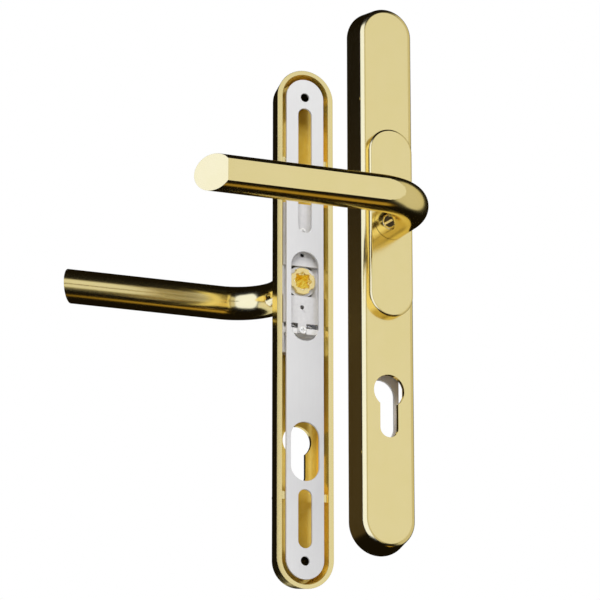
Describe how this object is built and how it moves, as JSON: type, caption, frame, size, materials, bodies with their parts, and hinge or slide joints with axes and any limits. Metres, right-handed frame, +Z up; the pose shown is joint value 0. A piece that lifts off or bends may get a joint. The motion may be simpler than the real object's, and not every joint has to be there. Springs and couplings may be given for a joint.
{
  "type": "lever door handle pair",
  "caption": "Pair of sprung brass lever door handles on long narrow backplates with euro-profile keyholes, shown apart on one spindle axis.",
  "frame": {"origin": "on the spindle axis, midway between the two backplates' door faces", "axes": "+Z up along the backplates, +Y along the spindle axis from the outside handle to the inside handle, +X away from the lever tips"},
  "size_m": [0.1435, 0.2468, 0.304],
  "materials": {
    "polished_brass": "polished and lacquered",
    "turned_brass": "turned",
    "strip_steel": "zinc-plated sheet",
    "steel": "bright",
    "zinc": "die-cast, as cast",
    "spring_steel": "drawn wire",
    "nylon": "moulded"
  },
  "bodies": {
    "plates": {"outside_backplate": "polished_brass", "outside_fixing_posts": "turned_brass", "outside_rose": "polished_brass", "outside_bush": "nylon", "outside_cassette": "zinc", "outside_upper_springs": "spring_steel", "outside_lower_springs": "spring_steel", "outside_upper_cover": "zinc", "outside_lower_cover": "zinc", "outside_cover_screws": "steel", "outside_strip_plate": "strip_steel", "inside_backplate": "polished_brass", "inside_fixing_posts": "turned_brass", "inside_rose": "polished_brass", "inside_bush": "nylon", "inside_cassette": "zinc", "inside_upper_springs": "spring_steel", "inside_lower_springs": "spring_steel", "inside_upper_cover": "zinc", "inside_lower_cover": "zinc", "inside_cover_screws": "steel", "inside_strip_plate": "strip_steel"},
    "outside_lever_body": {"outside_lever": "polished_brass", "outside_grub_screw": "turned_brass", "outside_hub": "turned_brass", "outside_hub_washer": "steel", "outside_hub_crown": "turned_brass"},
    "inside_lever_body": {"inside_lever": "polished_brass", "inside_grub_screw": "turned_brass", "inside_hub": "turned_brass", "inside_hub_washer": "steel", "inside_hub_crown": "turned_brass"},
    "outside_slider_body": {"outside_slider": "zinc"},
    "inside_slider_body": {"inside_slider": "zinc"}
  },
  "joints": [
    {"name": "outside_lever_turn", "type": "hinge", "parent": "plates", "child": "outside_lever_body", "pos_m": [0, -0.0505, 0], "axis": [0, 1, 0], "range_deg": [-40, 40], "stiffness_Nm_per_rad": 2.2, "springref_deg": 5.16},
    {"name": "outside_slider_travel", "type": "slide", "parent": "plates", "child": "outside_slider_body", "axis": [0, 0, 1], "range_m": [-0.00594, 0.00594], "deforming": ["outside_upper_springs", "outside_lower_springs"]},
    {"name": "inside_lever_turn", "type": "hinge", "parent": "plates", "child": "inside_lever_body", "pos_m": [0, 0.0505, 0], "axis": [0, 1, 0], "range_deg": [-40, 40], "stiffness_Nm_per_rad": 2.2, "springref_deg": 5.16},
    {"name": "inside_slider_travel", "type": "slide", "parent": "plates", "child": "inside_slider_body", "axis": [0, 0, 1], "range_m": [-0.00594, 0.00594], "deforming": ["inside_upper_springs", "inside_lower_springs"]}
  ],
  "couplings": [
    {"joint": "outside_slider_travel", "follows": "outside_lever_turn", "m_per_rad": -0.008505},
    {"joint": "inside_slider_travel", "follows": "inside_lever_turn", "m_per_rad": -0.008505}
  ]
}
